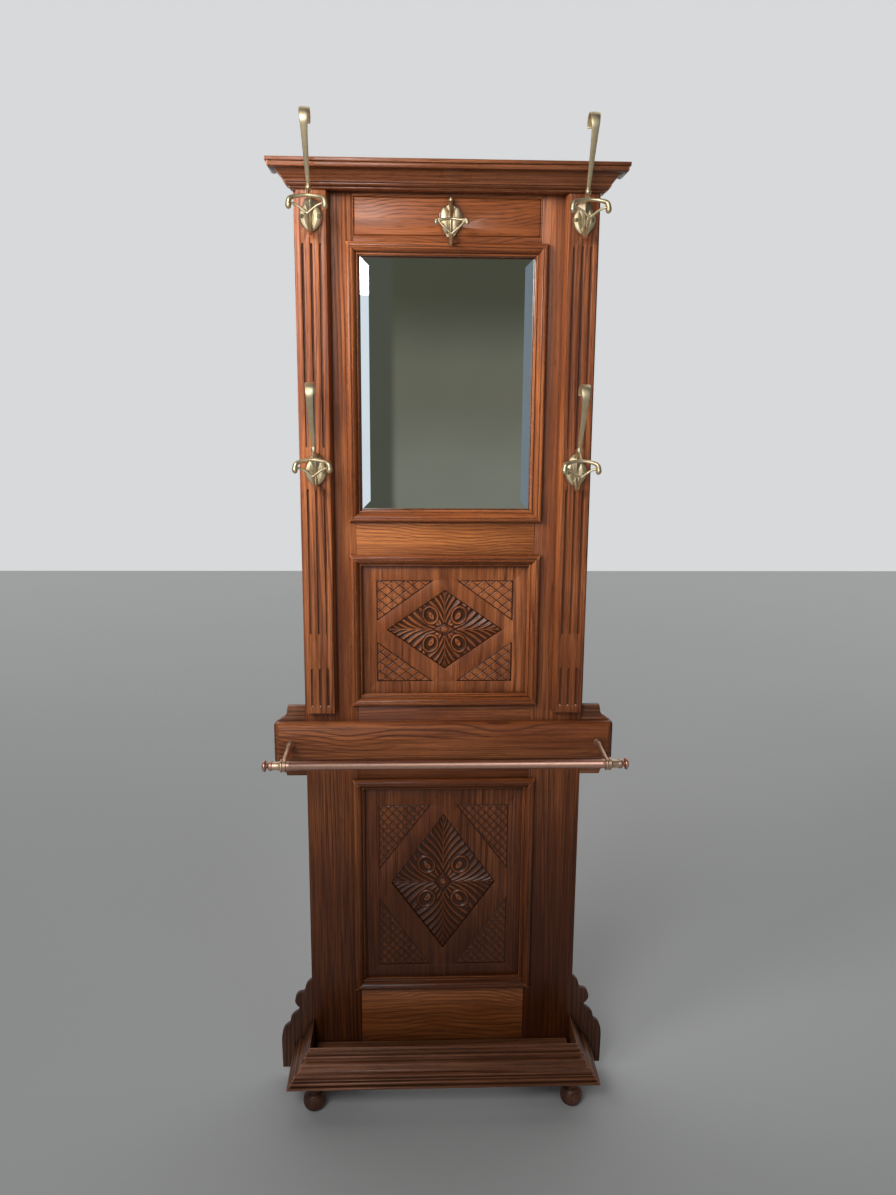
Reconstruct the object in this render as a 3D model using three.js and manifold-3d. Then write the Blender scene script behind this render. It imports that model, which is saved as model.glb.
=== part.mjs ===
// Oak hall tree: a panelled frame with a mirror, carved panels, coat hooks, an umbrella rail and a
// moulded tray base. Millimetres, +Z up, +Y towards the wall, origin on the floor below the middle.
import * as THREE from 'three';
import { mergeVertices } from 'three/addons/utils/BufferGeometryUtils.js';
import Module from 'manifold-3d';

const wasm = await Module();
wasm.setup();

// ---- Driving dimensions -------------------------------------------------------------------------
const HEIGHT = 2000;                // floor to the top of the cornice board
const FRAME_HALF = 301;             // half-width over the stiles
const FRAME_THICK = 33;             // stile and rail thickness; their front face is y = 0 while building
const STILE_INNER = 187;            // half-width of the openings between the stiles
const GLUE = 0.25;                  // glue line left between pieces that meet
const TENON = { length: 42, thick: 11, shoulder: 12 };

const MOULD = { width: 25.5, lap: 14, panelSet: 9 };        // bolection moulding round each opening
const MIRROR_OPENING = { bottom: 1320.5, top: 1846.5 };
const UPPER_OPENING = { bottom: 922, top: 1224.5 };
const LOWER_OPENING = { bottom: 240, top: 725 };

const FRIEZE = { half: 183.5, bottom: 1873, top: 1944, grooveHalf: 1.6, grooveDepth: 2.4 };
const CORNICE = { bottom: 1951, projection: 44.5, lidThick: 7 };
const PILASTER = { centre: 265.5, half: 29.25, thick: 22, bottom: 897.5, cantWidth: 5.5, cantDepth: 12 };
const FLUTE = { half: 2.4, depth: 4, spacing: 17 };
const BOARD = { half: 363, bottom: 788, top: 873.5, thick: 22.5, chamfer: 6.5 };
const EAR = { half: 369.5, thick: 12, bottom: 748.5, top: 907.5 };
const RAIL = {
  radius: 9, ringRadius: 13.5, y: -142, z: 826.5, bracketX: 332, armZ: 830, tubeHalf: 356, overall: 375.5,
};
const WING = { half: 373.5, thick: 10, bottom: 25, top: 249.5 };
const TRAY = { rimHalf: 297, rimFront: -101, rimTop: 148.75, bottom: 78.5, spread: 48 };
const BASE_BOARD = { thick: 12, inset: 18 };
const TRAY_BOARD = { thick: 12, gap: 6.25 };
const FOOT = { x: 289, y: -100, radius: 25 };
const HOOK = { x: PILASTER.centre, upper: 1947, lower: 1458.5, centre: 1938, centreX: 6 };

const SCREW = {
  x: 16, drop: 46, seat: 5, radius: 2.1, headRadius: 3.9, headHeight: 1.8, length: 15, clearance: 0.3,
};

// ---- Materials ----------------------------------------------------------------------------------
const finish = (color, roughness, metalness) =>
  new THREE.MeshStandardMaterial({ color, roughness, metalness });
const oak = finish(0x6f3a22, 0.4, 0);
const darkOak = finish(0x3b2016, 0.5, 0);
const brass = finish(0xb59a5b, 0.35, 0.9);
const copper = finish(0xb07a62, 0.35, 0.9);
const silvered = finish(0xaab2b4, 0.05, 1);
const backing = finish(0x8a6b4a, 0.8, 0);

// ---- Solids -------------------------------------------------------------------------------------
function solid(geometry) {
  const bare = geometry.clone();
  bare.deleteAttribute('normal');
  bare.deleteAttribute('uv');
  const merged = mergeVertices(bare, 1e-4);
  return new wasm.Manifold(new wasm.Mesh({
    numProp: 3,
    vertProperties: new Float32Array(merged.attributes.position.array),
    triVerts: new Uint32Array(merged.index.array),
  }));
}

function geometryOf(manifold) {
  const mesh = manifold.getMesh();
  const geometry = new THREE.BufferGeometry();
  geometry.setAttribute('position', new THREE.BufferAttribute(new Float32Array(mesh.vertProperties), 3));
  geometry.setIndex(new THREE.BufferAttribute(new Uint32Array(mesh.triVerts), 1));
  const flat = geometry.toNonIndexed();
  flat.computeVertexNormals();
  return flat;
}

function join(geometries) {
  return geometryOf(geometries.map(solid).reduce((sum, next) => sum.add(next)));
}

function cut(geometry, cutters) {
  return geometryOf(cutters.map(solid).reduce((rest, next) => rest.subtract(next), solid(geometry)));
}

function common(geometry, other) {
  return geometryOf(solid(geometry).intersect(solid(other)));
}

// ---- Basic shapes -------------------------------------------------------------------------------
function block([x0, x1], [y0, y1], [z0, z1]) {
  return new THREE.BoxGeometry(x1 - x0, y1 - y0, z1 - z0)
    .translate((x0 + x1) / 2, (y0 + y1) / 2, (z0 + z1) / 2);
}

function outline(points) {
  return new THREE.Shape(points.map(([a, b]) => new THREE.Vector2(a, b)));
}

// An outline drawn in X and Z, thickened along Y from yFront to yBack.
function plate(shape, yFront, yBack, curveSegments = 6) {
  return new THREE.ExtrudeGeometry(shape, { depth: yBack - yFront, bevelEnabled: false, curveSegments })
    .rotateX(Math.PI / 2).translate(0, yBack, 0);
}

// A plate whose front edges are chamfered all round.
function chamferedPlate(shape, yFront, yBack, chamfer) {
  const body = new THREE.ExtrudeGeometry(shape, {
    depth: yBack - yFront, bevelThickness: chamfer, bevelSize: chamfer, bevelOffset: -chamfer,
    bevelSegments: 1, curveSegments: 6,
  }).rotateX(Math.PI / 2).translate(0, yBack + chamfer, 0);
  return common(body, block([-1000, 1000], [yFront - 100, yBack], [-100, 3000]));
}

// A solid turned about the Z axis from a profile of [radius, z] points that starts and ends on the axis.
function turned(profile, segments = 20) {
  return new THREE.LatheGeometry(profile.map(([r, z]) => new THREE.Vector2(r, z)), segments)
    .rotateX(Math.PI / 2);
}

// A round bar along a smooth curve through the given points.
function bar(points, radius, steps, sides = 6) {
  const section = outline(Array.from({ length: sides }, (_, i) => {
    const angle = (2 * Math.PI * i) / sides;
    return [radius * Math.cos(angle), radius * Math.sin(angle)];
  }));
  const path = new THREE.CatmullRomCurve3(points.map((p) => new THREE.Vector3(...p)));
  return new THREE.ExtrudeGeometry(section, { steps, bevelEnabled: false, extrudePath: path });
}

function ellipsoid([x, y, z], [rx, ry, rz], segments = 8) {
  return new THREE.SphereGeometry(1, segments, segments - 2).rotateX(Math.PI / 2)
    .scale(rx, ry, rz).translate(x, y, z);
}

// A moulded bar. Its profile is drawn in u (in from the outer edge) and v (out of the face); the
// length is measured on the outer edge, and an end's slope is 1 where it is mitred and 0 where square.
function mouldedBar(profile, length, { across, outward, origin, startSlope = 1, endSlope = 1 }) {
  const geometry = new THREE.ExtrudeGeometry(outline(profile), { depth: 1, bevelEnabled: false });
  const position = geometry.attributes.position;
  for (let i = 0; i < position.count; i++) {
    const u = position.getX(i);
    const along = position.getZ(i) < 0.5 ? -length / 2 + u * startSlope : length / 2 - u * endSlope;
    position.setZ(i, along);
  }
  const uAxis = new THREE.Vector3(...across);
  const vAxis = new THREE.Vector3(...outward);
  const basis = new THREE.Matrix4().makeBasis(uAxis, vAxis, uAxis.clone().cross(vAxis));
  return geometry.applyMatrix4(basis).translate(...origin);
}

// ---- The assembly -------------------------------------------------------------------------------
const hallTree = new THREE.Group();
const carcass = new THREE.Group();
const FRONT_REACH = RAIL.y - RAIL.ringRadius;
carcass.position.y = -(FRAME_THICK + FRONT_REACH) / 2;
hallTree.add(carcass);

function add(name, geometry, material) {
  const mesh = new THREE.Mesh(geometry, material);
  mesh.name = name;
  carcass.add(mesh);
}

const SIDES = [['left', -1], ['right', 1]];

// ---- Hook screws and their pilot holes ----------------------------------------------------------
// A round hole or shank along Y, from yFront to yBack.
function rod(radius, yFront, yBack, sides = 8) {
  const rod = new THREE.CylinderGeometry(radius, radius, yBack - yFront, sides);
  return rod.translate(0, (yFront + yBack) / 2, 0);
}

function pilotHoles(x, y, z) {
  return SIDES.map(([, side]) => rod(SCREW.radius + SCREW.clearance, y - 10, y + SCREW.length)
    .translate(x + side * SCREW.x, 0, z - SCREW.drop));
}

// ---- Frame: two stiles and four rails on stub tenons --------------------------------------------
const RAILS = {
  top_rail: [MIRROR_OPENING.top, HEIGHT],
  middle_rail: [UPPER_OPENING.top, MIRROR_OPENING.bottom],
  lock_rail: [LOWER_OPENING.top, UPPER_OPENING.bottom],
  bottom_rail: [TRAY.bottom, LOWER_OPENING.bottom],
};
const tenonY = [(FRAME_THICK - TENON.thick) / 2, (FRAME_THICK + TENON.thick) / 2];

function makeRail([bottom, top]) {
  const half = STILE_INNER - GLUE;
  const tongue = half + TENON.length;
  return join([
    block([-half, half], [0, FRAME_THICK], [bottom, top]),
    block([-tongue, tongue], tenonY, [bottom + TENON.shoulder, top - TENON.shoulder]),
  ]);
}

function makeStile(side) {
  const edges = [side * STILE_INNER, side * FRAME_HALF].sort((a, b) => a - b);
  const depth = TENON.length + 1;
  const mortiseX = [side * (STILE_INNER - 1), side * (STILE_INNER + depth)].sort((a, b) => a - b);
  const mortiseY = [tenonY[0] - GLUE, tenonY[1] + GLUE];
  const mortises = Object.values(RAILS).map(([bottom, top]) => block(mortiseX, mortiseY,
    [bottom + TENON.shoulder - GLUE, top - TENON.shoulder + GLUE]));
  return cut(block(edges, [0, FRAME_THICK], [0, HEIGHT]), mortises);
}

for (const [name, span] of Object.entries(RAILS)) {
  const rail = makeRail(span);
  if (name !== 'top_rail') {
    add(name, rail, oak);
    continue;
  }
  // The frieze: a field framed by a V-groove cut into the face of the top rail, with the pilot holes
  // of the centre hook's screws.
  const wedge = outline([[-FRIEZE.grooveHalf, -2], [FRIEZE.grooveHalf, -2], [FRIEZE.grooveHalf, 0],
    [0, FRIEZE.grooveDepth], [-FRIEZE.grooveHalf, 0]]);
  const groove = (length) => new THREE.ExtrudeGeometry(wedge, { depth: length, bevelEnabled: false })
    .translate(0, 0, -length / 2);
  const middle = (FRIEZE.top + FRIEZE.bottom) / 2;
  add(name, cut(rail, [
    groove(2 * FRIEZE.half).rotateY(Math.PI / 2).translate(0, 0, FRIEZE.bottom),
    groove(2 * FRIEZE.half).rotateY(Math.PI / 2).translate(0, 0, FRIEZE.top),
    groove(FRIEZE.top - FRIEZE.bottom).translate(-FRIEZE.half, 0, middle),
    groove(FRIEZE.top - FRIEZE.bottom).translate(FRIEZE.half, 0, middle),
    ...pilotHoles(HOOK.centreX, 0, HOOK.centre),
  ]), oak);
}
for (const [word, side] of SIDES) add(`stile_${word}`, makeStile(side), oak);

// ---- Pilasters: fluted boards planted on the stiles ---------------------------------------------
// Each [bottom, top] pair is one run of flutes; the plain lengths between them carry the hooks.
const FLUTE_RUNS = [[913, 996.5], [1071.5, 1376.5], [1460, 1853]];

function flute([bottom, top]) {
  const shape = new THREE.Shape();
  shape.absarc(0, top - FLUTE.half, FLUTE.half, 0, Math.PI, false);
  shape.absarc(0, bottom + FLUTE.half, FLUTE.half, Math.PI, 2 * Math.PI, false);
  return plate(shape, -PILASTER.thick - 5, -PILASTER.thick + FLUTE.depth, 3);
}

// The plain board; its inner front edge is canted.
function pilasterBoard(side) {
  const faceInner = PILASTER.centre - PILASTER.half;
  const section = [
    [PILASTER.centre + PILASTER.half, -GLUE], [PILASTER.centre + PILASTER.half, -PILASTER.thick],
    [faceInner, -PILASTER.thick], [faceInner - PILASTER.cantWidth, -PILASTER.thick + PILASTER.cantDepth],
    [faceInner - PILASTER.cantWidth, -GLUE],
  ];
  const height = CORNICE.bottom - GLUE - PILASTER.bottom;
  return new THREE.ExtrudeGeometry(outline(section.map(([x, y]) => [side * x, y])),
    { depth: height, bevelEnabled: false }).translate(0, 0, PILASTER.bottom);
}

for (const [word, side] of SIDES) {
  const centre = side * PILASTER.centre;
  const flutes = FLUTE_RUNS.flatMap((run) => [-1, 0, 1].map((place) =>
    flute(run).translate(centre + place * FLUTE.spacing, 0, 0)));
  const holes = [HOOK.upper, HOOK.lower].flatMap((z) => pilotHoles(centre, -PILASTER.thick, z));
  add(`pilaster_${word}`, cut(pilasterBoard(side), [...flutes, ...holes]), oak);
}

// ---- Cornice: mitred moulding under a flat lid, planted on the face of the frame ------------------
const LID_BOTTOM = HEIGHT - CORNICE.lidThick;

// Points are [projection from the frame, height], from the wall side of the underside outwards and up.
const CORNICE_POINTS = [
  [0, CORNICE.bottom], [1.5, CORNICE.bottom], [3.6, 1952.2], [4.8, 1954], [4.8, 1956], [7.5, 1956.4],
  [10.6, 1958], [12, 1960], [12, 1962.3], [14.3, 1962.6], [14.3, 1965.4], [18.4, 1970.6], [22.2, 1975.4],
  [26.1, 1979.7], [29, 1982.6], [31.5, 1984.5], [32.7, 1982.8], [36, 1982.6], [38.6, 1983.3], [40.8, 1984.4],
  [41.5, 1986], [41.5, LID_BOTTOM - GLUE], [0, LID_BOTTOM - GLUE],
];
const corniceProfile = CORNICE_POINTS.map(([projection, z]) => [CORNICE.projection - projection, z]);
const corniceHalf = FRAME_HALF + CORNICE.projection;
const corniceFront = -(PILASTER.thick + CORNICE.projection);

add('cornice_lid', block([-corniceHalf, corniceHalf], [corniceFront, -GLUE], [LID_BOTTOM, HEIGHT]), oak);
add('cornice_front', join([
  mouldedBar(corniceProfile, 2 * corniceHalf,
    { across: [0, 1, 0], outward: [0, 0, 1], origin: [0, corniceFront, 0] }),
  block([-FRAME_HALF, FRAME_HALF], [-PILASTER.thick - 1, -GLUE], [CORNICE.bottom, LID_BOTTOM - GLUE]),
]), oak);

// A side return of a moulding whose mitre meets the front piece; its back end is square.
function sideReturn(profile, side, half, front, back, gap) {
  const right = side > 0;
  return mouldedBar(profile, back - front - gap, {
    across: [-side, 0, 0], outward: [0, 0, 1], origin: [side * half, (front + gap + back) / 2, 0],
    startSlope: right ? 1 : 0, endSlope: right ? 0 : 1,
  });
}

for (const [word, side] of SIDES) {
  add(`cornice_return_${word}`,
    sideReturn(corniceProfile.map(([u, v]) => [Math.min(u, CORNICE.projection - GLUE), v]), side, corniceHalf,
      corniceFront, -GLUE, 2 * GLUE), oak);
}

// ---- Bolection mouldings and what they hold -----------------------------------------------------
const BOLECTION = [
  [0, GLUE], [0, 4.5], [1.6, 8.6], [3.6, 11.4], [5.6, 12.6], [9, 12.6], [9.6, 11.1], [10.2, 11.1], [10.8, 12.3],
  [13, 12], [15.6, 10.3], [18, 7.6], [19.6, 5], [19.9, 2.5], [20.7, 2.5], [21.3, 3.6], [22.8, 3.5], [24.4, 1.8],
  [25, 0.4], [25, -1.4],
  [MOULD.width, -1.4], [MOULD.width, -MOULD.panelSet + GLUE], [MOULD.lap + GLUE, -MOULD.panelSet + GLUE],
  [MOULD.lap + GLUE, GLUE],
];

function addMoulding(prefix, { bottom, top }) {
  const half = STILE_INNER + MOULD.lap;
  const [low, high] = [bottom - MOULD.lap, top + MOULD.lap];
  const middle = (low + high) / 2;
  const bars = {
    top: [2 * half, [0, 0, -1], [0, 0, high]],
    bottom: [2 * half, [0, 0, 1], [0, 0, low]],
    left: [high - low, [1, 0, 0], [-half, 0, middle]],
    right: [high - low, [-1, 0, 0], [half, 0, middle]],
  };
  for (const [place, [length, across, origin]] of Object.entries(bars)) {
    add(`${prefix}_moulding_${place}`,
      mouldedBar(BOLECTION, length - 2 * GLUE, { across, outward: [0, -1, 0], origin }), oak);
  }
}

const PANEL = { thick: 12, play: 1 };
const panelX = [-STILE_INNER + PANEL.play, STILE_INNER - PANEL.play];
const panelY = [MOULD.panelSet, MOULD.panelSet + PANEL.thick];

// A panel with a sunk rhombus between four sunk corner triangles.
function carvedPanel({ bottom, top }, rhombus, corner) {
  const middle = (rhombus.top + rhombus.bottom) / 2;
  const sunk = (points, depth) => plate(outline(points), panelY[0] - 5, panelY[0] + depth);
  const diamond = [[rhombus.half, middle], [0, rhombus.top], [-rhombus.half, middle], [0, rhombus.bottom]];
  const cutters = [sunk(diamond, 5)];
  for (const [, side] of SIDES) {
    for (const [outer, inner] of [[corner.top, corner.innerTop], [corner.bottom, corner.innerBottom]]) {
      const edge = side * corner.half;
      cutters.push(sunk([[edge, outer], [side * corner.innerX, outer], [edge, inner]], 2));
    }
  }
  return cut(block(panelX, panelY, [bottom + PANEL.play, top - PANEL.play]), cutters);
}

addMoulding('mirror', MIRROR_OPENING);
addMoulding('upper_panel', UPPER_OPENING);
addMoulding('lower_panel', LOWER_OPENING);
add('upper_carved_panel', carvedPanel(UPPER_OPENING, { half: 124.5, bottom: 987, top: 1161 },
  { half: 145.5, top: 1181.5, bottom: 959, innerX: 24, innerTop: 1093, innerBottom: 1048 }), oak);
add('lower_carved_panel', carvedPanel(LOWER_OPENING, { half: 118, bottom: 320, top: 651 },
  { half: 145, top: 673, bottom: 280, innerX: 28, innerTop: 516, innerBottom: 450 }), oak);

// ---- Mirror: bevelled glass with a backing board ------------------------------------------------
const GLASS = { half: 182, thick: 5, bevelWidth: 25.5, bevelDepth: 2.5, margin: 4 };
const glassZ = [MIRROR_OPENING.bottom + GLASS.margin, MIRROR_OPENING.top - GLASS.margin];
const glassOutline = outline([[-GLASS.half, glassZ[0]], [GLASS.half, glassZ[0]], [GLASS.half, glassZ[1]],
  [-GLASS.half, glassZ[1]]]);
const glassBack = MOULD.panelSet + GLASS.thick;
const bevelled = new THREE.ExtrudeGeometry(glassOutline, {
  depth: GLASS.thick, bevelThickness: GLASS.bevelDepth, bevelSize: GLASS.bevelWidth,
  bevelOffset: -GLASS.bevelWidth, bevelSegments: 1,
}).rotateX(Math.PI / 2).translate(0, glassBack + GLASS.bevelDepth, 0);
add('mirror_glass', common(bevelled, block([-FRAME_HALF, FRAME_HALF], [0, glassBack], [0, HEIGHT])), silvered);
add('mirror_backboard', block(panelX, [glassBack + GLUE, FRAME_THICK - 6],
  [MIRROR_OPENING.bottom + PANEL.play, MIRROR_OPENING.top - PANEL.play]), backing);

// ---- Rail board with the ears behind its ends ---------------------------------------------------
add('rail_board', chamferedPlate(outline([[-BOARD.half, BOARD.bottom], [BOARD.half, BOARD.bottom],
  [BOARD.half, BOARD.top], [-BOARD.half, BOARD.top]]), -BOARD.thick, -GLUE, BOARD.chamfer), oak);

function earShape(side) {
  const inner = side * (FRAME_HALF + GLUE);
  const shape = new THREE.Shape();
  shape.moveTo(inner, EAR.bottom);
  shape.lineTo(side * 344, EAR.bottom);
  shape.quadraticCurveTo(side * 346, 763, side * 356, 767);
  shape.quadraticCurveTo(side * (EAR.half - 1), 772, side * EAR.half, 788);
  shape.lineTo(side * EAR.half, 862);
  shape.quadraticCurveTo(side * EAR.half, 868, side * 364, 872);
  shape.quadraticCurveTo(side * 358, 876, side * 351.3, 881);
  shape.quadraticCurveTo(side * 343, 885.5, side * 341.8, 891);
  shape.lineTo(side * 339, EAR.top);
  shape.lineTo(inner, EAR.top);
  return shape;
}

for (const [word, side] of SIDES) add(`ear_${word}`, plate(earShape(side), 0, EAR.thick), oak);

// ---- Umbrella rail: tube, finials and ring brackets ---------------------------------------------
const TUBE_WALL = 1.2;
const alongX = (geometry) => geometry.rotateY(Math.PI / 2);
const innerRadius = RAIL.radius - TUBE_WALL;
add('umbrella_rail', alongX(turned([[innerRadius, -RAIL.tubeHalf], [RAIL.radius, -RAIL.tubeHalf],
  [RAIL.radius, RAIL.tubeHalf], [innerRadius, RAIL.tubeHalf], [innerRadius, -RAIL.tubeHalf]]))
  .translate(0, RAIL.y, RAIL.z), copper);

// Profiles are [radius, distance]; the finial's runs out from the tube's end, the arm's from the board.
const finialLength = RAIL.overall - RAIL.tubeHalf;
const FINIAL_PROFILE = [[0, -12], [innerRadius - 0.3, -12], [innerRadius - 0.3, GLUE], [10.3, GLUE], [10.6, 2],
  [10.3, 4.5], [7.5, 6], [4.8, 7.5], [4.4, 9], [7.5, 10.2], [11.2, 11.4], [12, 13.6], [11, 16], [7, 18],
  [0, finialLength]];
const ARM_PROFILE = [[0, 0], [8, 0], [8.6, 2], [8, 4], [6, 5.2], [5.4, 7], [7.2, 10], [7.4, 12.5], [6, 15],
  [4.2, 17], [3.7, 22], [3.7, 60], [4, 90], [5, 104], [5.6, 108], [5.6, 110], [0, 110]];

for (const [word, side] of SIDES) {
  add(`rail_finial_${word}`, turned(FINIAL_PROFILE, 12).rotateY((side * Math.PI) / 2)
    .translate(side * RAIL.tubeHalf, RAIL.y, RAIL.z), copper);
  const arm = turned(ARM_PROFILE, 8).rotateX(Math.PI / 2)
    .translate(side * RAIL.bracketX, -BOARD.thick - GLUE, RAIL.armZ);
  const [bead, groove] = [RAIL.ringRadius, RAIL.ringRadius - 1.5];
  const ringProfile = [[5, -5.5], [groove, -5.5], [bead, -4], [bead, -2.2], [groove, -0.9], [groove, 0.9],
    [bead, 2.2], [bead, 4], [groove, 5.5], [5, 5.5], [5, -5.5]];
  const ring = alongX(turned(ringProfile, 14)).translate(side * RAIL.bracketX, RAIL.y, RAIL.z);
  const bore = alongX(turned([[0, -20], [RAIL.radius + 0.3, -20], [RAIL.radius + 0.3, 20], [0, 20]]))
    .translate(side * RAIL.bracketX, RAIL.y, RAIL.z);
  add(`rail_bracket_${word}`, cut(join([arm, ring]), [bore]), copper);
}

// ---- Side wings at the foot of the stiles -------------------------------------------------------
function wingShape(side) {
  const shape = new THREE.Shape();
  const inner = side * (FRAME_HALF + GLUE);
  shape.moveTo(inner, WING.bottom);
  shape.lineTo(side * (WING.half - 1), WING.bottom);
  shape.lineTo(side * WING.half, 93);
  shape.quadraticCurveTo(side * 373, 124, side * 363, 133);
  shape.lineTo(side * 353, 140);
  shape.lineTo(side * 351, 154);
  shape.quadraticCurveTo(side * 344, 165, side * 334, 170);
  shape.quadraticCurveTo(side * 329.5, 175, side * 331.5, 181);
  shape.quadraticCurveTo(side * 337, 184, side * 340.7, 194.5);
  shape.quadraticCurveTo(side * 340.5, 206, side * 335, 214);
  shape.quadraticCurveTo(side * 329, 219, side * 322, 219);
  shape.quadraticCurveTo(side * 316.5, 221, side * 316, 230);
  shape.quadraticCurveTo(side * 314, 241, side * 303.5, 249);
  shape.lineTo(inner, WING.top);
  return shape;
}

for (const [word, side] of SIDES) add(`wing_${word}`, plate(wingShape(side), 0, WING.thick), darkOak);

// ---- Tray base ----------------------------------------------------------------------------------
// Points are [projection from the rim's inner edge, height], from the rim down the front to the foot.
const TRAY_POINTS = [
  [0, TRAY.bottom], [0, TRAY.rimTop], [2.2, 148.2], [3.2, 146.5], [3.2, 143], [6.5, 142.6], [8.6, 141],
  [8.6, 137.4], [7.4, 136.8], [7.4, 135.4], [11, 135], [12.8, 133.4], [12.8, 129.6], [10, 128.4], [10, 122.6],
  [14.5, 122], [18.2, 120.2], [20.3, 116.6], [20.6, 112], [22.4, 106.9], [26, 103.8], [32, 102.9], [34, 101.2],
  [34, 97.4], [32.4, 96.7], [32.4, 95.4], [36.4, 95], [37, 93.4], [35.6, 92.3], [35.6, 91.2], [40, 90.8],
  [41.6, 89], [41.6, 85.2], [40, 84.6], [40, 83.5], [46.6, 83.3], [TRAY.spread, 81.9], [TRAY.spread, TRAY.bottom],
];
const trayProfile = TRAY_POINTS.map(([projection, z]) => [TRAY.spread - projection, z]);
const trayHalf = TRAY.rimHalf + TRAY.spread;
const trayFront = TRAY.rimFront - TRAY.spread;

add('tray_moulding_front', mouldedBar(trayProfile, 2 * trayHalf,
  { across: [0, 1, 0], outward: [0, 0, 1], origin: [0, trayFront, 0] }), darkOak);
for (const [word, side] of SIDES) {
  add(`tray_moulding_${word}`,
    sideReturn(trayProfile, side, trayHalf, trayFront, -GLUE, 2 * GLUE), darkOak);
}

const baseTop = TRAY.bottom - GLUE;
const baseBottom = baseTop - BASE_BOARD.thick;
add('base_board', block([-trayHalf + BASE_BOARD.inset, trayHalf - BASE_BOARD.inset],
  [trayFront + BASE_BOARD.inset, -GLUE], [baseBottom, baseTop]), darkOak);
add('tray_board', block([-TRAY.rimHalf + TRAY_BOARD.gap, TRAY.rimHalf - TRAY_BOARD.gap],
  [TRAY.rimFront + 3, -3], [TRAY.bottom, TRAY.bottom + TRAY_BOARD.thick]), darkOak);

const FOOT_PROFILE = [[0, 0], [13, 0], [18.5, 3], [22.8, 9], [24.7, 16], [FOOT.radius, 22], [23, 32], [18, 39],
  [13, 42.5], [13, 45], [17, 47.5], [19, 51], [19, 55.5], [16.5, 58], [16.5, baseBottom - GLUE],
  [0, baseBottom - GLUE]];
for (const [word, side] of SIDES) {
  add(`bun_foot_${word}`, turned(FOOT_PROFILE, 14).translate(side * FOOT.x, FOOT.y, 0), darkOak);
}

// ---- Coat hooks ---------------------------------------------------------------------------------
// Drawn about the ball: x to the right, y out of the back plate (negative is forward), z up.
function screwSeat(side) {
  const hole = rod(SCREW.radius + SCREW.clearance, -20, 10);
  const counterbore = rod(SCREW.headRadius + SCREW.clearance, -20, -SCREW.seat);
  return [hole, counterbore].map((cutter) => cutter.translate(side * SCREW.x, 0, -SCREW.drop));
}

// The back plate, from the right-hand side of its outline, listed downwards.
function backPlate(peak, rightSide) {
  const leftSide = rightSide.map(([x, z]) => [-x, z]).reverse();
  return plate(outline([[0, peak], ...rightSide, ...leftSide]), -4, 0);
}

// The blade: a strip bent along a curve of [forward, height] points, curling back at its wide tip.
function blade() {
  const path = new THREE.CatmullRomCurve3([[36, 0], [52, 28], [72, 60], [88, 90], [94, 108], [90, 124],
    [78, 131], [62, 127], [52, 115], [50, 108]].map(([forward, z]) => new THREE.Vector3(forward, z, 0)));
  const steps = 16;
  const half = 1.5;
  const edge = (sign) => path.getSpacedPoints(steps).map((point, i) => {
    const tangent = path.getTangentAt(i / steps);
    return [point.x + sign * half * tangent.y, point.y - sign * half * tangent.x];
  });
  const strip = new THREE.ExtrudeGeometry(outline([...edge(1), ...edge(-1).reverse()]),
    { depth: 30, bevelEnabled: false });
  const basis = new THREE.Matrix4().makeBasis(new THREE.Vector3(0, -1, 0), new THREE.Vector3(0, 0, 1),
    new THREE.Vector3(-1, 0, 0));
  strip.applyMatrix4(basis).translate(15, 0, 0);
  const rightSide = [[3.2, -10], [4.5, 20], [7, 45], [8, 70], [8.8, 95], [9.3, 140]];
  const leftSide = rightSide.map(([x, z]) => [-x, z]).reverse();
  return common(strip, plate(outline([...rightSide, ...leftSide]), -130, 0));
}

function hook({ ball, arch, knob, joint, tip, peak, rightSide, lobe, withBlade }) {
  const half = knob.half;
  const side = (sign) => [
    bar([[0, -joint.forward, joint.z], [sign * half * 0.42, -joint.forward - 1, joint.z + 9],
      [sign * half * 0.74, -(arch.forward + knob.forward) / 2, (arch.z + knob.z) / 2 + 2]], 2.3, 4),
    ellipsoid([sign * half, -knob.forward, knob.z], [5.2, 5.2, 6.5], 6),
    ellipsoid([sign * 11, -3, lobe.z], [9.5, 6, lobe.half], 6),
  ];
  const archSide = (sign) => [[sign * half, -knob.forward, knob.z + 2],
    [sign * (half - 3), -knob.forward + 1, (arch.z + knob.z) / 2],
    [sign * half * 0.55, -arch.forward - 4, arch.z - 3.5]];
  const pieces = [
    backPlate(peak, rightSide),
    bar([...archSide(-1), [0, -arch.forward, arch.z], ...archSide(1).reverse()], 3.5, 10),
    bar([[0, -2, tip.z + 24], [0, -tip.forward, tip.z], [0, -joint.forward + 16, joint.z - 12],
      [0, -joint.forward, joint.z], [0, -arch.forward - 2, (arch.z + joint.z) / 2], [0, -arch.forward, arch.z]],
    3.4, 9),
    bar([[0, -2.6, peak - 10], [0, (ball - 3) / 2, peak - 3], [0, ball, 0], [0, ball - 6, arch.z / 2],
      [0, -arch.forward, arch.z]], 3.4, 6),
    ellipsoid([0, ball, 0], [4.4, 4.4, 8]),
    ...side(1), ...side(-1),
  ];
  if (withBlade) pieces.push(blade());
  const cast = cut(join(pieces), [...screwSeat(1), ...screwSeat(-1)]);
  return common(cast, block([-60, 60], [-140, -GLUE], [-120, 160]));
}

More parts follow.
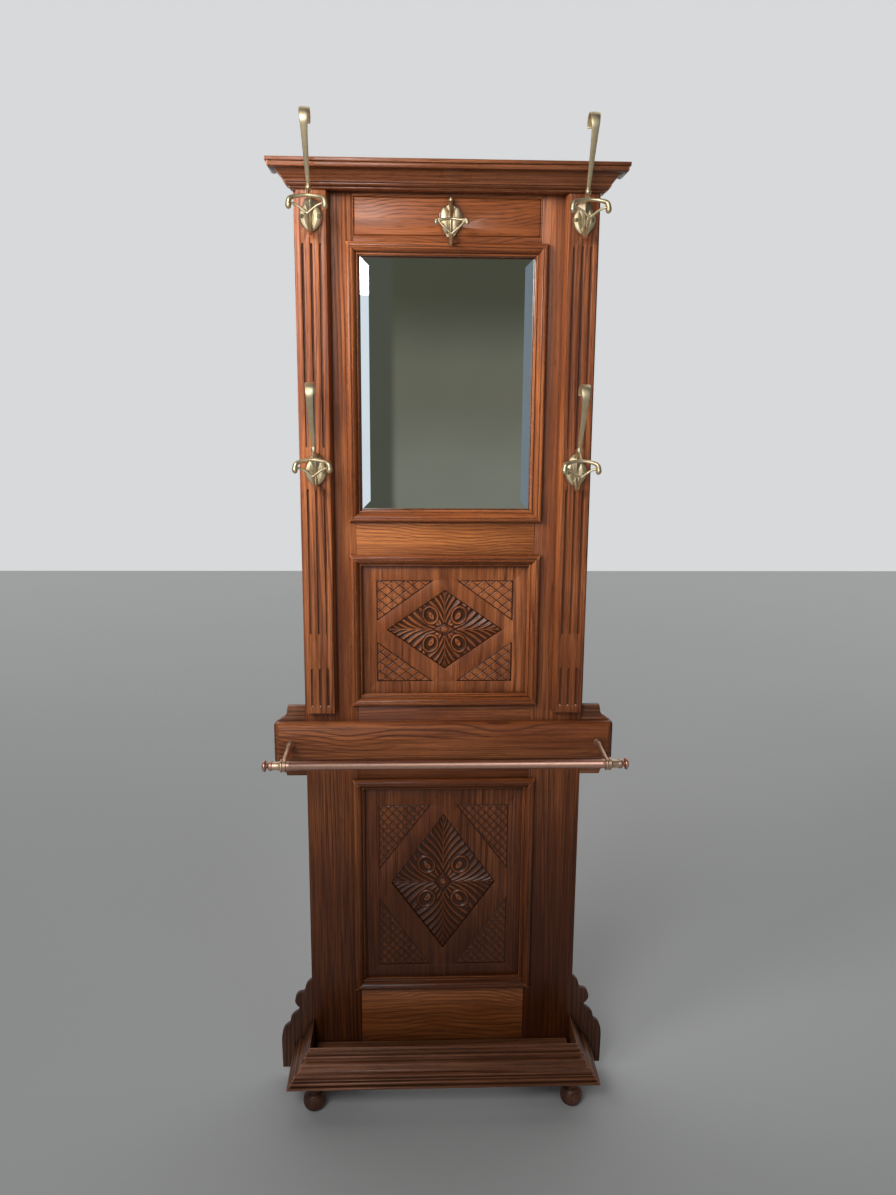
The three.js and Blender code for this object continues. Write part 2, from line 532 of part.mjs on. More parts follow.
const LARGE = {
  ball: -36, arch: { forward: 61, z: -19 }, knob: { forward: 71, z: -38, half: 34 },
  joint: { forward: 66, z: -50 }, tip: { forward: 17, z: -80 }, peak: -7,
  rightSide: [[5, -10], [12, -20], [19, -32], [23, -46], [20, -58], [12, -67], [5, -73]],
  lobe: { z: -49, half: 24 }, withBlade: true,
};
const SMALL = {
  ball: -8, arch: { forward: 45, z: -40.5 }, knob: { forward: 50, z: -48, half: 30 },
  joint: { forward: 48, z: -66 }, tip: { forward: 21, z: -83 }, peak: -3,
  rightSide: [[7, -9], [15, -16], [22.5, -23], [23.5, -37], [20, -46], [12, -60], [6, -68]],
  lobe: { z: -44, half: 20 }, withBlade: false,
};
const largeHook = hook(LARGE);
const smallHook = hook(SMALL);

// A round-headed screw: its head rests on the plate at y = 0 and its shank runs towards the wall.
const screwBody = turned([[0, -SCREW.length], [SCREW.radius * 0.5, -SCREW.length],
  [SCREW.radius, -SCREW.length + 4], [SCREW.radius, 0], [SCREW.headRadius, 0],
  [SCREW.headRadius * 0.86, SCREW.headHeight * 0.6], [0, SCREW.headHeight]], 8)
  .rotateX(Math.PI / 2);

const HOOK_PLACES = [
  ['upper_left', largeHook, -HOOK.x, -PILASTER.thick, HOOK.upper],
  ['upper_right', largeHook, HOOK.x, -PILASTER.thick, HOOK.upper],
  ['lower_left', largeHook, -HOOK.x, -PILASTER.thick, HOOK.lower],
  ['lower_right', largeHook, HOOK.x, -PILASTER.thick, HOOK.lower],
  ['centre', smallHook, HOOK.centreX, 0, HOOK.centre],
];
for (const [place, casting, x, y, z] of HOOK_PLACES) {
  add(`hook_${place}`, casting.clone().translate(x, y, z), brass);
  for (const [word, side] of SIDES) {
    add(`screw_${place}_${word}`,
      screwBody.clone().translate(x + side * SCREW.x, y - SCREW.seat - GLUE, z - SCREW.drop), brass);
  }
}

export default hallTree;
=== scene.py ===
"""Looks of the oak hall tree: wood, carving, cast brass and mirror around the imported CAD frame."""
import math

import bmesh
import bpy
import numpy as np
from mathutils import Matrix, Vector


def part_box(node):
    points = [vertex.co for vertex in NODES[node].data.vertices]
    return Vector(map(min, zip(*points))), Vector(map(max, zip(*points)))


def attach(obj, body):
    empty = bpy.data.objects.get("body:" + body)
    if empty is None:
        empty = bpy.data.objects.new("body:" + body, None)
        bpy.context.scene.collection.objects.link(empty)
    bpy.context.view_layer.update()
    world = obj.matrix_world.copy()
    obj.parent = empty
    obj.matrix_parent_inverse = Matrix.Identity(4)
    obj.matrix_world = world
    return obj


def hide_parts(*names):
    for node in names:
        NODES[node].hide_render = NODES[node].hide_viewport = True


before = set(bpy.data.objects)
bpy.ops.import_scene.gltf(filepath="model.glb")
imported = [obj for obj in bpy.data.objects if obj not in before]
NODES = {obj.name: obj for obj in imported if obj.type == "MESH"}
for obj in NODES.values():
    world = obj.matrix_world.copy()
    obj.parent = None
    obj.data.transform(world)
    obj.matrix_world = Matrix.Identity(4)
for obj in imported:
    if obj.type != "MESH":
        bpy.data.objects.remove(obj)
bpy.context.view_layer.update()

MM = 0.001
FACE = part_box("stile_left")[0].y                 # front plane of the stiles and rails, in metres
# The rest are millimetres: x from the middle, y from the stiles' face towards the wall, z from the floor.
PILASTER_FRONT = (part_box("pilaster_left")[0].y - FACE) / MM
PILASTER_X = 265.5                               # middle of a pilaster's front face
PANEL_FACE = 9.0                                 # the carved panels' face, behind the stiles' face
RHOMBUS_BED, CORNER_BED = 5, 2                   # how deep the fields for carving are sunk in the panels
RHOMBUS_CREST, CORNER_CREST = 4.7, 2.25          # height over the bed at which the carving's depth is 0
SIDES = (("left", -1), ("right", 1))


# ---- Camera -------------------------------------------------------------------------------------
def make_camera():
    """The photograph's viewpoint: eye height, slightly left of centre, looking down a little."""
    yaw, pitch, roll = math.radians(2.197), math.radians(11.436), math.radians(0.402)
    forward = Vector((math.sin(yaw) * math.cos(pitch), math.cos(yaw) * math.cos(pitch), -math.sin(pitch)))
    right = Vector((math.cos(yaw), -math.sin(yaw), 0))
    up = right.cross(forward)
    right, up = math.cos(roll) * right + math.sin(roll) * up, math.cos(roll) * up - math.sin(roll) * right
    data = bpy.data.cameras.new("camera")
    data.sensor_width = 36
    data.lens = 28.59
    camera = bpy.data.objects.new("camera", data)
    camera.matrix_world = Matrix((right, up, -forward)).transposed().to_4x4()
    camera.location = (-0.0697, FACE - 1.9731, 1.5458)
    bpy.context.collection.objects.link(camera)
    bpy.context.scene.camera = camera


# ---- Node helpers -------------------------------------------------------------------------------
class Graph:
    """A material's node tree with short calls for the nodes used here."""

    def __init__(self, name):
        self.material = bpy.data.materials.new(name)
        self.material.use_nodes = True
        self.tree = self.material.node_tree
        self.shader = self.tree.nodes["Principled BSDF"]

    def node(self, kind, **settings):
        made = self.tree.nodes.new("ShaderNode" + kind)
        for key, value in settings.items():
            setattr(made, key, value)
        return made

    def put(self, socket, value):
        if isinstance(value, bpy.types.NodeSocket):
            self.tree.links.new(value, socket)
        elif value is not None:
            socket.default_value = value

    def math(self, operation, a, b=None, c=None):
        made = self.node("Math", operation=operation)
        for socket, value in zip(made.inputs, (a, b, c)):
            self.put(socket, value)
        return made.outputs[0]

    def remap(self, value, low, high, to_low=0.0, to_high=1.0):
        made = self.node("MapRange", interpolation_type="SMOOTHSTEP")
        for socket, number in zip(made.inputs, (value, low, high, to_low, to_high)):
            self.put(socket, number)
        return made.outputs[0]

    def noise(self, vector, scale, detail=2.0, roughness=0.5):
        made = self.node("TexNoise")
        self.put(made.inputs["Vector"], vector)
        made.inputs["Scale"].default_value = scale
        made.inputs["Detail"].default_value = detail
        made.inputs["Roughness"].default_value = roughness
        return made.outputs["Fac"]

    def vector(self, operation, a, b=None):
        made = self.node("VectorMath", operation=operation)
        for socket, value in zip(made.inputs, (a, b)):
            self.put(socket, value)
        return made.outputs["Value" if operation in ("LENGTH", "DOT_PRODUCT") else "Vector"]

    def stretch(self, vector, scale):
        made = self.node("Mapping")
        self.put(made.inputs["Vector"], vector)
        made.inputs["Scale"].default_value = scale
        return made.outputs[0]

    def mix(self, factor, a, b):
        made = self.node("Mix", data_type="RGBA")
        for name, value in (("Factor", factor), ("A", a), ("B", b)):
            socket = [s for s in made.inputs if s.name == name and s.enabled][0]
            self.put(socket, (*value, 1) if isinstance(value, tuple) and len(value) == 3 else value)
        return [s for s in made.outputs if s.enabled][0]

    def attribute(self, name):
        return self.node("Attribute", attribute_name=name).outputs["Fac"]

    def hollow(self, distance, inside=False):
        """0 in corners and grooves, 1 on open faces; looking inside, 0 at sharp outer edges."""
        made = self.node("AmbientOcclusion", samples=4, inside=inside, only_local=inside)
        made.inputs["Distance"].default_value = distance
        return made.outputs["AO"]

    def bump(self, height, distance, strength):
        made = self.node("Bump")
        made.inputs["Distance"].default_value = distance
        made.inputs["Strength"].default_value = strength
        self.put(made.inputs["Height"], height)
        self.put(self.shader.inputs["Normal"], made.outputs[0])

    def set(self, **values):
        for key, value in values.items():
            self.put(self.shader.inputs[key.replace("_", " ")], value)
        return self.material


# ---- Materials ----------------------------------------------------------------------------------
GRAIN_ORDER = {"x": ("Z", "Y", "X"), "y": ("X", "Z", "Y"), "z": ("X", "Y", "Z")}


def grain_space(g, grain, board_shift):
    """Object coordinates turned so that the third one runs along the grain, moved by piece."""
    split = g.node("SeparateXYZ")
    g.put(split.inputs[0], g.node("TexCoord").outputs["Object"])
    along = g.node("CombineXYZ")
    for socket, axis in zip(along.inputs, GRAIN_ORDER[grain]):
        g.put(socket, split.outputs[axis])
    board = g.node("ObjectInfo").outputs["Random"]
    shift = g.node("CombineXYZ")
    g.put(shift.inputs[0], g.math("MULTIPLY_ADD", board, 0.13, -0.065))
    g.put(shift.inputs[1], g.math("MULTIPLY_ADD", board, 0.05, board_shift))
    g.put(shift.inputs[2], g.math("MULTIPLY", board, 37.0))
    return g.vector("ADD", along.outputs[0], shift.outputs[0]), split.outputs["Z"]


def oak(name, grain, light, mid, dark, gloss=0.36, ring=0.0075, contrast=1.0, dirt_and_shade=0.62, dirt_and_shade_reach=0.020,
        floor_shade=0.96, wear_and_highlight=0.0, figure=(0.075, 0.8), polish=0.29, carved=False):
    """Stained oak: growth rings round a pith behind the board, pores along the grain, painted shade
    darkening it towards the floor.
    """
    g = Graph(name)
    wood, height = grain_space(g, grain, 0.10)

    # Rings: distance from the pith, bent by slow noise that is stretched along the grain.
    slow = g.noise(g.stretch(wood, (5.0, 5.0, figure[1])), 1.0, 2.0)
    fine = g.noise(g.stretch(wood, (46.0, 46.0, 3.0)), 1.0, 3.0)
    radius = g.vector("LENGTH", g.vector("MULTIPLY", wood, (1.0, 1.0, 0.0)))
    bent = g.math("ADD", radius, g.math("MULTIPLY_ADD", slow, figure[0], g.math("MULTIPLY", fine, 0.006)))
    phase = g.math("FRACT", g.math("DIVIDE", bent, ring))
    early = g.math("MULTIPLY", g.remap(phase, 0.0, 0.16), g.remap(phase, 0.55, 0.2))
    uneven = g.remap(g.noise(g.stretch(wood, (22.0, 22.0, 1.4)), 1.0, 2.0), 0.38, 0.62)
    early = g.math("MULTIPLY", early, uneven)

    # Pores: short dark dashes along the grain, most of them in the early wood.
    dashes = g.noise(g.stretch(wood, (1150.0, 1150.0, 30.0)), 1.0, 1.0)
    pores = g.remap(g.math("MULTIPLY_ADD", early, 0.10, dashes), 0.60, 0.74)
    hairs = g.noise(g.stretch(wood, (420.0, 420.0, 6.0)), 1.0, 3.0, 0.6)
    streaks = g.noise(g.stretch(wood, (70.0, 70.0, 1.6)), 1.0, 4.0, 0.6)
    cloud = g.noise(g.stretch(wood, (8.0, 8.0, 2.4)), 1.0, 3.0)

    body = g.mix(g.remap(cloud, 0.38, 0.62), mid, light)
    body = g.mix(g.math("MULTIPLY", g.remap(streaks, 0.40, 0.62), 0.42 * contrast), body, dark)
    body = g.mix(g.math("MULTIPLY", g.remap(hairs, 0.42, 0.62), 0.54 * contrast), body, dark)
    body = g.mix(g.math("MULTIPLY", early, 0.78 * contrast), body, dark)
    body = g.mix(g.math("MULTIPLY", pores, 0.70), body, tuple(0.3 * c for c in dark))
    # Painted shade: the wood and its grain lines darken towards the floor, where less light reaches.
    floor_shade_mask = g.remap(height, 0.15, 1.25, floor_shade, 0.0)
    mottled_floor_shade = g.math("MULTIPLY", floor_shade_mask, g.remap(cloud, 0.35, 0.65, 1.0, 0.90))
    body = g.mix(mottled_floor_shade, body, (0.20 * mid[0], 0.14 * mid[1], 0.05 * mid[2]))
    lines = g.math("MULTIPLY", g.math("MAXIMUM", g.remap(hairs, 0.42, 0.60), early), 0.55)
    body = g.mix(g.math("MULTIPLY", lines, floor_shade_mask), body, tuple(0.12 * c for c in dark))
    if carved:
        # Painted highlight on the carving's crests, with some rubbing; wax in its hollows together with
        # painted shade there.
        depth = g.attribute("depth")
        body = g.mix(g.remap(depth, 0.26, 0.06, 0.0, 0.50), body, tuple(1.1 * c for c in light))
        body = g.mix(g.remap(depth, 0.20, 0.62, 0.0, 0.92), body, tuple(0.12 * c for c in mid))
    # Dark wax and dirt in corners and grooves, together with painted shade there.
    open_face = g.hollow(dirt_and_shade_reach)
    grime_and_shade = g.math("MULTIPLY", g.remap(open_face, 0.90, 0.30), dirt_and_shade)
    body = g.mix(grime_and_shade, body, (0.13 * mid[0], 0.11 * mid[1], 0.09 * mid[2]))
    # Edges rubbed pale by use, together with a painted highlight along the sharp outer edges.
    if wear_and_highlight:
        uneven_wear_and_highlight = g.remap(cloud, 0.3, 0.6, 0.4, wear_and_highlight)
        rubbed_and_lit_edge = g.math("MULTIPLY", g.remap(g.hollow(0.0022, True), 0.70, 0.42), uneven_wear_and_highlight)
        body = g.mix(rubbed_and_lit_edge, body, tuple(min(1.0, 1.7 * c + 0.03) for c in light))

    smudge = g.noise(wood, 14.0, 3.0)
    handled = g.remap(smudge, 0.3, 0.7, gloss - 0.05, gloss + 0.09)
    low_down = g.remap(height, 1.2, 0.3, 0.0, 0.10)
    rough = g.math("MULTIPLY_ADD", pores, 0.15, g.math("ADD", handled, low_down))
    relief = g.math("MULTIPLY_ADD", early, -0.3, g.math("MULTIPLY", pores, -0.7))
    g.bump(g.math("MULTIPLY_ADD", hairs, 0.3, relief), 0.00020, 0.8)
    g.set(Base_Color=body, Roughness=rough)
    return g.set(Specular_IOR_Level=polish, Coat_Weight=0.5 * polish, Coat_Roughness=0.20)


OAK = dict(light=(0.46, 0.145, 0.045), mid=(0.31, 0.088, 0.026), dark=(0.11, 0.028, 0.010))
WARM = dict(light=(0.53, 0.172, 0.044), mid=(0.40, 0.120, 0.029), dark=(0.16, 0.044, 0.012))
FRIEZE = dict(light=(0.46, 0.140, 0.040), mid=(0.34, 0.095, 0.024), dark=(0.12, 0.032, 0.010))
CORNICE = dict(light=(0.33, 0.110, 0.042), mid=(0.23, 0.070, 0.025), dark=(0.080, 0.022, 0.009))
DEEP = dict(light=(0.34, 0.134, 0.064), mid=(0.200, 0.072, 0.031), dark=(0.055, 0.018, 0.008), floor_shade=0.0)
SHADED = dict(light=(0.16, 0.062, 0.032), mid=(0.095, 0.034, 0.017), dark=(0.032, 0.011, 0.006), floor_shade=0.0)
PALE = dict(light=(0.80, 0.50, 0.36), mid=(0.66, 0.38, 0.26), dark=(0.40, 0.20, 0.12))
RAW = dict(light=(0.40, 0.27, 0.15), mid=(0.31, 0.20, 0.11), dark=(0.18, 0.11, 0.06))
FLAME = (0.12, 2.4)                              # a wilder figure: how far, and how often, the rings bend
MOULDED = dict(gloss=0.27, dirt_and_shade=0.92, dirt_and_shade_reach=0.009, wear_and_highlight=0.85)


def oak_set():
    return {
        "oak_upright": oak("oak_upright", "z", **OAK),
        "oak_across": oak("oak_across", "x", **OAK),
        "oak_warm": oak("oak_warm", "x", **WARM, floor_shade=0.32, figure=FLAME),
        "oak_frieze": oak("oak_frieze", "x", **FRIEZE, figure=FLAME),
        "oak_board": oak("oak_board", "x", **OAK, ring=0.011, wear_and_highlight=0.6, figure=FLAME),
        "oak_moulding_upright": oak("oak_moulding_upright", "z", **OAK, **MOULDED, floor_shade=0.84),
        "oak_moulding_across": oak("oak_moulding_across", "x", **OAK, **MOULDED, floor_shade=0.84),
        "cornice_across": oak("cornice_across", "x", **CORNICE, **MOULDED),
        "cornice_deep": oak("cornice_deep", "y", **CORNICE, **MOULDED),
        "oak_panel": oak("oak_panel", "z", **OAK, dirt_and_shade_reach=0.030, wear_and_highlight=0.5),
        "oak_carved": oak("oak_carved", "z", **OAK, gloss=0.25, contrast=0.6, dirt_and_shade=0.8, dirt_and_shade_reach=0.005,
                          carved=True),
        # Painted shade: the wings and feet take a darker copy of the oak, as they stand in shade low down.
        "shaded_upright": oak("shaded_upright", "z", **SHADED, wear_and_highlight=0.3, polish=0.22),
        "deep_across": oak("deep_across", "x", **DEEP, **MOULDED, polish=0.22),
        "deep_return": oak("deep_return", "y", **DEEP, **MOULDED, polish=0.22),
        "plug": oak("plug_wood", "z", **PALE, dirt_and_shade=0.2, floor_shade=0.0),
        "backing": oak("backing_wood", "z", **RAW, gloss=0.6),
    }


def cast_metal(name, high, low, rough, grime_and_shade_color, reach=0.007, grime_and_shade=0.8, texture=0.35):
    """Old cast metal: bright on the high spots, duller in the hollows and darker there with tarnish and
    painted shade.
    """
    g = Graph(name)
    place = g.node("TexCoord").outputs["Object"]
    tarnish = g.noise(place, 75.0, 4.0, 0.6)
    brushed = g.noise(g.stretch(place, (900.0, 900.0, 90.0)), 1.0, 2.0)
    open_face = g.hollow(reach)
    color = g.mix(g.remap(tarnish, 0.40, 0.68), high, low)
    # Tarnish and painted shade darken the hollows.
    color = g.mix(g.math("MULTIPLY", g.remap(open_face, 0.92, 0.25), grime_and_shade), color, grime_and_shade_color)
    rough_value = g.math("MULTIPLY_ADD", g.remap(open_face, 0.9, 0.3), 0.22,
                         g.remap(tarnish, 0.3, 0.7, rough - 0.05, rough + 0.07))
    g.bump(g.math("MULTIPLY_ADD", brushed, 0.3, tarnish), 0.00010, texture)
    g.set(Base_Color=color, Roughness=rough_value)
    return g.set(Metallic=1.0)


def mirror_silver():
    g = Graph("mirror_silver")
    place = g.node("TexCoord").outputs["Object"]
    haze = g.noise(place, 5.0, 3.0)
    specks = g.remap(g.noise(place, 260.0, 2.0), 0.70, 0.80)
    color = g.mix(g.remap(haze, 0.35, 0.7), (0.80, 0.84, 0.82), (0.75, 0.79, 0.77))
    color = g.mix(g.math("MULTIPLY", specks, 0.3), color, (0.20, 0.19, 0.16))
    g.set(Base_Color=color, Roughness=g.remap(haze, 0.3, 0.75, 0.010, 0.030))
    return g.set(Metallic=1.0)


def stage_surface(name, color, rough):
    g = Graph(name)
    place = g.node("TexCoord").outputs["Object"]
    tint = g.noise(place, 1.3, 3.0)
    g.set(Base_Color=g.mix(tint, tuple(0.97 * c for c in color), color))
    return g.set(Roughness=rough)


def room_card():
    """What the mirror and the brass see: a dim room with a pale window side."""
    g = Graph("room_card")
    split = g.node("SeparateXYZ")
    g.put(split.inputs[0], g.node("TexCoord").outputs["Object"])
    x, z = split.outputs["X"], split.outputs["Y"]
    wall = g.mix(g.remap(z, 0.05, -0.45), (0.078, 0.078, 0.056), (0.160, 0.154, 0.122))
    wall = g.mix(g.remap(z, -0.60, -1.15), wall, (0.205, 0.210, 0.175))
    wall = g.mix(g.remap(x, -0.36, -0.42), wall, (0.085, 0.088, 0.068))
    wall = g.mix(g.remap(x, 0.85, 1.05), wall, (0.20, 0.24, 0.28))
    wall = g.mix(g.remap(x, -0.62, -0.72), wall, (0.80, 0.86, 0.95))
    g.set(Base_Color=(0.0, 0.0, 0.0, 1.0), Emission_Color=wall)
    return g.set(Emission_Strength=1.0, Roughness=0.9, Specular_IOR_Level=0.0)


# ---- CAD nodes that stay: soft edges, smooth curves, wood -----------------------------------------
def smooth_group():
    """Geometry nodes that smooth-shade a mesh and keep edges over 32 degrees sharp."""
    group = bpy.data.node_groups.new("smooth_by_angle", "GeometryNodeTree")
    group.interface.new_socket("Geometry", in_out="INPUT", socket_type="NodeSocketGeometry")
    group.interface.new_socket("Geometry", in_out="OUTPUT", socket_type="NodeSocketGeometry")
    nodes, links = group.nodes, group.links
    entry, leave = nodes.new("NodeGroupInput"), nodes.new("NodeGroupOutput")
    faces, edges = nodes.new("GeometryNodeSetShadeSmooth"), nodes.new("GeometryNodeSetShadeSmooth")
    faces.domain, edges.domain = "FACE", "EDGE"
    angle, test = nodes.new("GeometryNodeInputMeshEdgeAngle"), nodes.new("FunctionNodeCompare")
    test.data_type, test.operation = "FLOAT", "GREATER_THAN"
    test.inputs[1].default_value = math.radians(32)
    links.new(entry.outputs[0], faces.inputs["Geometry"])
    links.new(faces.outputs[0], edges.inputs["Geometry"])
    links.new(angle.outputs["Unsigned Angle"], test.inputs[0])
    links.new(test.outputs[0], edges.inputs["Selection"])
    edges.inputs["Shade Smooth"].default_value = False
    links.new(edges.outputs[0], leave.inputs[0])
    return group


SMOOTH = smooth_group()


def soften(piece, width):
    """Weld, round the edges over 38 degrees and smooth-shade the rest."""
    weld = piece.modifiers.new("weld", "WELD")
    weld.merge_threshold = 0.00002
    bevel = piece.modifiers.new("bevel", "BEVEL")
    bevel.width, bevel.segments = width, 2
    bevel.limit_method, bevel.angle_limit = "ANGLE", math.radians(38)
    bevel.use_clamp_overlap = True
    bevel.miter_outer = "MITER_ARC"
    smooth = piece.modifiers.new("smooth", "NODES")
    smooth.node_group = SMOOTH


def finish_node(name, material, width):
    """Give a CAD node its material and edges rounded to a width in metres, or sharp ones for 0."""
    piece = NODES[name]
    for slot in piece.material_slots:
        slot.material = material
    if width:
        soften(piece, width)


def finish_nodes(woods):
    for word, _ in SIDES:
        finish_node(f"stile_{word}", woods["oak_upright"], 0.0012)
        finish_node(f"pilaster_{word}", woods["oak_upright"], 0.0006)
        finish_node(f"cornice_return_{word}", woods["cornice_deep"], 0.0005)
        # Painted shade: the ears take the darker oak, as they sit in shade behind the board.
        finish_node(f"ear_{word}", woods["deep_across"], 0.0015)
        finish_node(f"wing_{word}", woods["shaded_upright"], 0.0015)
        finish_node(f"tray_moulding_{word}", woods["deep_return"], 0.0005)
    finish_node("top_rail", woods["oak_frieze"], 0.0004)
    finish_node("middle_rail", woods["oak_warm"], 0.0006)
    finish_node("lock_rail", woods["oak_across"], 0.0006)
    finish_node("bottom_rail", woods["oak_warm"], 0.0006)
    finish_node("cornice_lid", woods["cornice_across"], 0.0012)
    finish_node("cornice_front", woods["cornice_across"], 0.0005)
    for frame_name in ("mirror", "upper_panel", "lower_panel"):
        for place in ("top", "bottom"):
            finish_node(f"{frame_name}_moulding_{place}", woods["oak_moulding_across"], 0.0004)
        for place in ("left", "right"):
            finish_node(f"{frame_name}_moulding_{place}", woods["oak_moulding_upright"], 0.0004)
    finish_node("upper_carved_panel", woods["oak_panel"], 0.0005)
    finish_node("lower_carved_panel", woods["oak_panel"], 0.0005)
    finish_node("rail_board", woods["oak_board"], 0.0008)
    finish_node("tray_moulding_front", woods["deep_across"], 0.0005)
    finish_node("base_board", woods["deep_across"], 0.0015)
    finish_node("tray_board", woods["deep_across"], 0.0015)


# ---- Shapes made here ---------------------------------------------------------------------------
def at(x, y, z):
    """Millimetres from the middle of the stiles' front face at floor level, in the frame's metres."""
    return Vector((x * MM, FACE + y * MM, z * MM))


def new_piece(name, mesh, material):
    """An object around a mesh, fixed to the stand; pieces that share a mesh share its material."""
    piece = bpy.data.objects.new(name, mesh)
    if not mesh.materials:
        mesh.materials.append(material)
    bpy.context.collection.objects.link(piece)
    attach(piece, "stand")
    return piece


def mesh_from(name, points, faces):
    mesh = bpy.data.meshes.new(name)
    mesh.from_pydata([tuple(point) for point in points], [], [tuple(face) for face in faces])
    shell = bmesh.new()
    shell.from_mesh(mesh)
    bmesh.ops.recalc_face_normals(shell, faces=shell.faces)
    shell.to_mesh(mesh)
    shell.free()
    mesh.shade_smooth()
    return mesh


def lathe(name, profile, segments=56):
    """A closed mesh turned about Z from [radius, height] points in millimetres, on the axis at the ends."""
    rings = [(r, z) for r, z in profile if r > 0]
    points = []
    for radius, z in rings:
        for step in range(segments):
            angle = 2 * math.pi * step / segments
            points.append((radius * MM * math.cos(angle), radius * MM * math.sin(angle), z * MM))
    faces = []
    for ring in range(len(rings) - 1):
        for step in range(segments):
            after = (step + 1) % segments
            low, high = ring * segments, (ring + 1) * segments
            faces.append((low + step, low + after, high + after, high + step))
    for pole, ring in ((profile[0], 0), (profile[-1], len(rings) - 1)):
        points.append((0, 0, pole[1] * MM))
        for step in range(segments):
            after = (step + 1) % segments
            faces.append((ring * segments + step, ring * segments + after, len(points) - 1))
    return mesh_from(name, points, faces)


def rounded(profile, steps=5):
    """A profile with a smooth curve through its points; a repeated point stays a corner."""
    result = []
    for index in range(len(profile) - 1):
        if profile[index] == profile[index + 1]:
            continue
        p0, p1 = profile[max(index - 1, 0)], profile[index]
        p2, p3 = profile[index + 1], profile[min(index + 2, len(profile) - 1)]
        for step in range(steps):
            result.append(catmull(p0, p1, p2, p3, step / steps))
    result.append(profile[-1])
    return result


def catmull(p0, p1, p2, p3, t):
    return tuple(0.5 * (2 * b + (c - a) * t + (2 * a - 5 * b + 4 * c - d) * t * t
                        + (3 * b - a - 3 * c + d) * t ** 3) for a, b, c, d in zip(p0, p1, p2, p3))


# ---- Carving: height fields standing in the panel's sunk fields -----------------------------------
def skew_grid(origin, leg_a, leg_b, count):
    """A four-sided grid over a parallelogram."""
    points, faces = [], []
    for i in range(count + 1):
        for j in range(count + 1):
            points.append([origin[k] + leg_a[k] * i / count + leg_b[k] * j / count for k in (0, 1)])
    for i in range(count):
        for j in range(count):
            corner = i * (count + 1) + j
            faces.append((corner, corner + count + 1, corner + count + 2, corner + 1))
    return np.array(points), faces


def corner_grid(origin, leg_a, leg_b, count):
    """A grid over the triangle between two legs."""
    points, faces, row = [], [], []
    for i in range(count + 1):
        row.append(len(points))
        for j in range(count + 1 - i):
            points.append([origin[k] + leg_a[k] * i / count + leg_b[k] * j / count for k in (0, 1)])
    for i in range(count):
        for j in range(count - i):
            here, above = row[i] + j, row[i + 1] + j
            faces.append((here, above, here + 1))
            if j < count - i - 1:
                faces.append((here + 1, above, above + 1))
    return np.array(points), faces


def rim_of(faces):
    """The outline of a patch of faces, as a ring of point numbers."""
    edges = {(face[k], face[(k + 1) % len(face)]) for face in faces for k in range(len(face))}
    after = dict(edge for edge in edges if edge[::-1] not in edges)
    ring = [next(iter(after))]
    while after[ring[-1]] != ring[0]:
        ring.append(after[ring[-1]])
    return ring


def relief(name, grid, heights, floor, crest, material):
    """A closed carved body: its front follows the heights above the floor plane, its back is flat.

    The depth below the crest height is kept on the mesh, for the wax and painted shade in the hollows and
    the painted highlight on the crests."""
    points, faces = grid
    front = [at(x, floor - h, z) for (x, z), h in zip(points, heights)]
    ring = rim_of(faces)
    back = [at(points[k][0], floor + 0.3, points[k][1]) for k in ring]
    first = len(front)
    count = len(ring)
    walls = [(ring[k], ring[(k + 1) % count], first + (k + 1) % count, first + k) for k in range(count)]
    bottom = [tuple(range(first + count - 1, first - 1, -1))]
    mesh = mesh_from(name, front + back, faces + walls + bottom)
    depth = mesh.attributes.new("depth", "FLOAT", "POINT")
    depth.data.foreach_set("value", np.concatenate([1 - heights / crest, np.ones(count)]))
    return new_piece(name, mesh, material)


def steps_between(values, low, high):
    """A smooth step from 0 at low to 1 at high, either of which may be the larger."""
    t = np.clip((values - low) / (high - low), 0, 1)
    return t * t * (3 - 2 * t)


def plumes(x, z, eye):
    """Gouged leaflets that spring from the two axes and sweep out to the edge."""
    lengthways = np.abs(z) * eye[0] < np.abs(x) * eye[1]
    along = np.where(lengthways, np.abs(x), np.abs(z))
    aside = np.where(lengthways, np.abs(z), np.abs(x))
    phase = (along - SWEEP * np.sqrt(aside)) / LEAFLET
    leaf = np.abs(2 * (phase - np.floor(phase)) - 1) ** 1.2
    midrib = np.exp(-(aside / 1.6) ** 2)
    return leaf * steps_between(aside, 0.2, 2.2) * (1 - midrib) + 0.8 * midrib


def oval(x, z, centre, radii, tilt):
    """How far out from the centre of a tilted oval each point lies, 1 on its outline."""
    dx, dz = x - centre[0], z - centre[1]
    a = dx * math.cos(tilt) + dz * math.sin(tilt)
    b = dz * math.cos(tilt) - dx * math.sin(tilt)
    return np.sqrt((a / radii[0]) ** 2 + (b / radii[1]) ** 2)


def eye_profile(d, seed):
    """Across an eye: a rolled rim, a crescent moat and a long seed with a fold down its middle."""
    rim = 1.5 * np.exp(-((d - 0.84) / 0.13) ** 2)
    return rim + 1.5 * steps_between(seed, 1.0, 0.55) - 0.8 * np.exp(-(seed / 0.22) ** 2)


LEAFLET = 20.0                                   # spacing of the leaflets along an axis
SWEEP = 10.8                                     # how strongly they curve away from it
CARVING = {
    "upper": dict(half=(124.5, 87.0), middle=1074.0, eye=(30.5, 31.0), radii=(18.0, 22.0), tilt=-0.35,
                  boss=(22.0, 12.0), cells=170),
    "lower": dict(half=(118.0, 165.5), middle=485.5, eye=(38.0, 42.0), radii=(21.0, 23.5), tilt=-0.6,
                  boss=(16.5, 22.5), cells=230),
}


